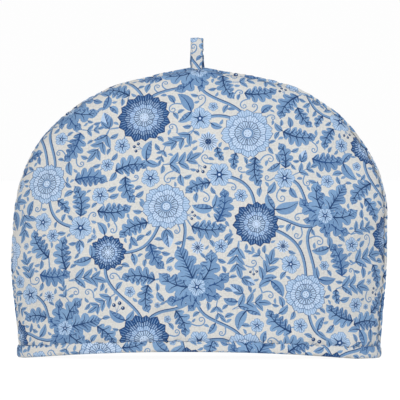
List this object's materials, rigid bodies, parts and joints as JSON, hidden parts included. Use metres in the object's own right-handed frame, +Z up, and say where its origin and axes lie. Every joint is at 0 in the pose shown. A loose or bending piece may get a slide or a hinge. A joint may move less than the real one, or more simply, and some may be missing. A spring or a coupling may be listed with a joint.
{
  "type": "tea cosy",
  "caption": "Padded dome-shaped tea cosy with a piped seam, a bound open mouth and a hanging loop, standing on its hem.",
  "frame": {"origin": "middle of the open mouth, on the surface that the hem rests on", "axes": "+Z up, the cosy's face towards -Y, +X to the right as seen from the front"},
  "size_m": [0.3592, 0.1085, 0.3056],
  "materials": {
    "printed_cotton": "matte plain-weave cotton, printed with blue flowers and leaves on cream"
  },
  "bodies": {
    "root": {"front_panel": "printed_cotton", "back_panel": "printed_cotton", "hem_binding": "printed_cotton", "piping": "printed_cotton", "hanging_loop": "printed_cotton"}
  },
  "joints": []
}
